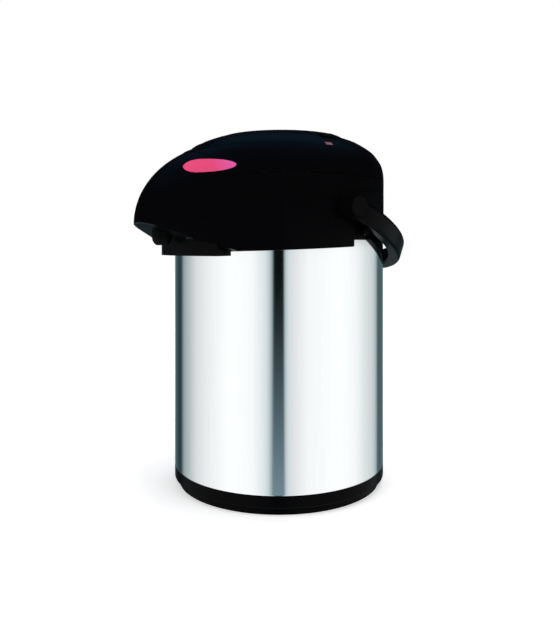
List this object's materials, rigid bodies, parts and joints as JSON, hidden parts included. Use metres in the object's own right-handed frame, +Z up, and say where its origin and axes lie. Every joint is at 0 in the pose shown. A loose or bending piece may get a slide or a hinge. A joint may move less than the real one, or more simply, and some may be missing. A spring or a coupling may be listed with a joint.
{
  "type": "thermal coffee airpot",
  "caption": "Push-top vacuum airpot: steel jug on a turning foot, black head with a spout nose, hinged pump lid, lid latch, lock slide and swinging bail handle.",
  "frame": {"origin": "centre of the turning foot's flat underside", "axes": "+Z up along the jug, -Y towards the spout nose, +X towards the side with the lock slide"},
  "size_m": [0.2064, 0.2382, 0.29],
  "materials": {
    "black_gloss": "glossy moulded polypropylene",
    "black_satin": "satin moulded polypropylene",
    "steel_shell": "polished stainless steel with vertical reflections",
    "liner_steel": "satin stainless steel",
    "white_plastic": "natural food-grade plastic",
    "clear_plastic": "milky food-grade plastic",
    "silicone": "grey-white silicone",
    "rubber": "black rubber",
    "bright_steel": "bright zinc-plated steel",
    "badge_pink": "glossy pink-red",
    "mark_red": "glossy red"
  },
  "bodies": {
    "foot": {"swivel_foot": "black_gloss", "foot_grip": "rubber", "glide_ring": "white_plastic", "pivot_washer": "bright_steel", "pivot_screw": "bright_steel"},
    "jug": {"base_housing": "black_gloss", "liner_cushion": "rubber", "outer_shell": "steel_shell", "liner_outer": "liner_steel", "liner_inner": "liner_steel", "liner_gasket": "silicone", "shoulder": "black_gloss", "spout_cover": "black_satin", "cover_screws": "bright_steel", "nozzle": "black_satin", "outlet_pipe": "clear_plastic", "dip_tube": "clear_plastic", "pipe_seal": "silicone", "mouth_ring": "white_plastic", "mouth_ring_screws": "bright_steel", "hinge_pin": "bright_steel", "badge_right": "badge_pink", "badge_left": "badge_pink", "bail_screws": "black_satin"},
    "lid": {"lid_cover": "black_gloss", "lid_base": "white_plastic", "lid_gasket": "silicone", "air_valve": "silicone", "lid_screws": "bright_steel", "bellows": "clear_plastic", "return_spring": "bright_steel", "latch_pin": "bright_steel", "latch_spring": "bright_steel", "lock_mark": "mark_red"},
    "push_button": {"push_plate": "black_gloss", "intake_valve": "silicone"},
    "latch": {"latch_lever": "black_gloss"},
    "lock": {"lock_slide": "black_satin"},
    "bail": {"bail_handle": "black_gloss"}
  },
  "joints": [
    {"name": "base_swivel", "type": "hinge", "parent": "foot", "child": "jug", "pos_m": [0, 0, 0], "axis": [0, 0, 1], "continuous": true},
    {"name": "lid_hinge", "type": "hinge", "parent": "jug", "child": "lid", "pos_m": [0, 0.0915, 0.25], "axis": [-1, 0, 0], "range_deg": [0, 85]},
    {"name": "plate_press", "type": "slide", "parent": "lid", "child": "push_button", "axis": [0, 0, -1], "range_m": [0, 0.025], "stiffness_N_per_m": 600, "springref_m": -0.01, "deforming": ["bellows", "return_spring"]},
    {"name": "latch_press", "type": "hinge", "parent": "lid", "child": "latch", "pos_m": [0, -0.07, 0.2742], "axis": [1, 0, 0], "range_deg": [0, 10], "stiffness_Nm_per_rad": 0.4, "springref_deg": -5.73},
    {"name": "lock_slide", "type": "slide", "parent": "lid", "child": "lock", "axis": [0, 1, 0], "range_m": [0, 0.01]},
    {"name": "bail_swing", "type": "hinge", "parent": "jug", "child": "bail", "pos_m": [0, 0, 0.2255], "axis": [1, 0, 0], "range_deg": [0, 112]}
  ]
}
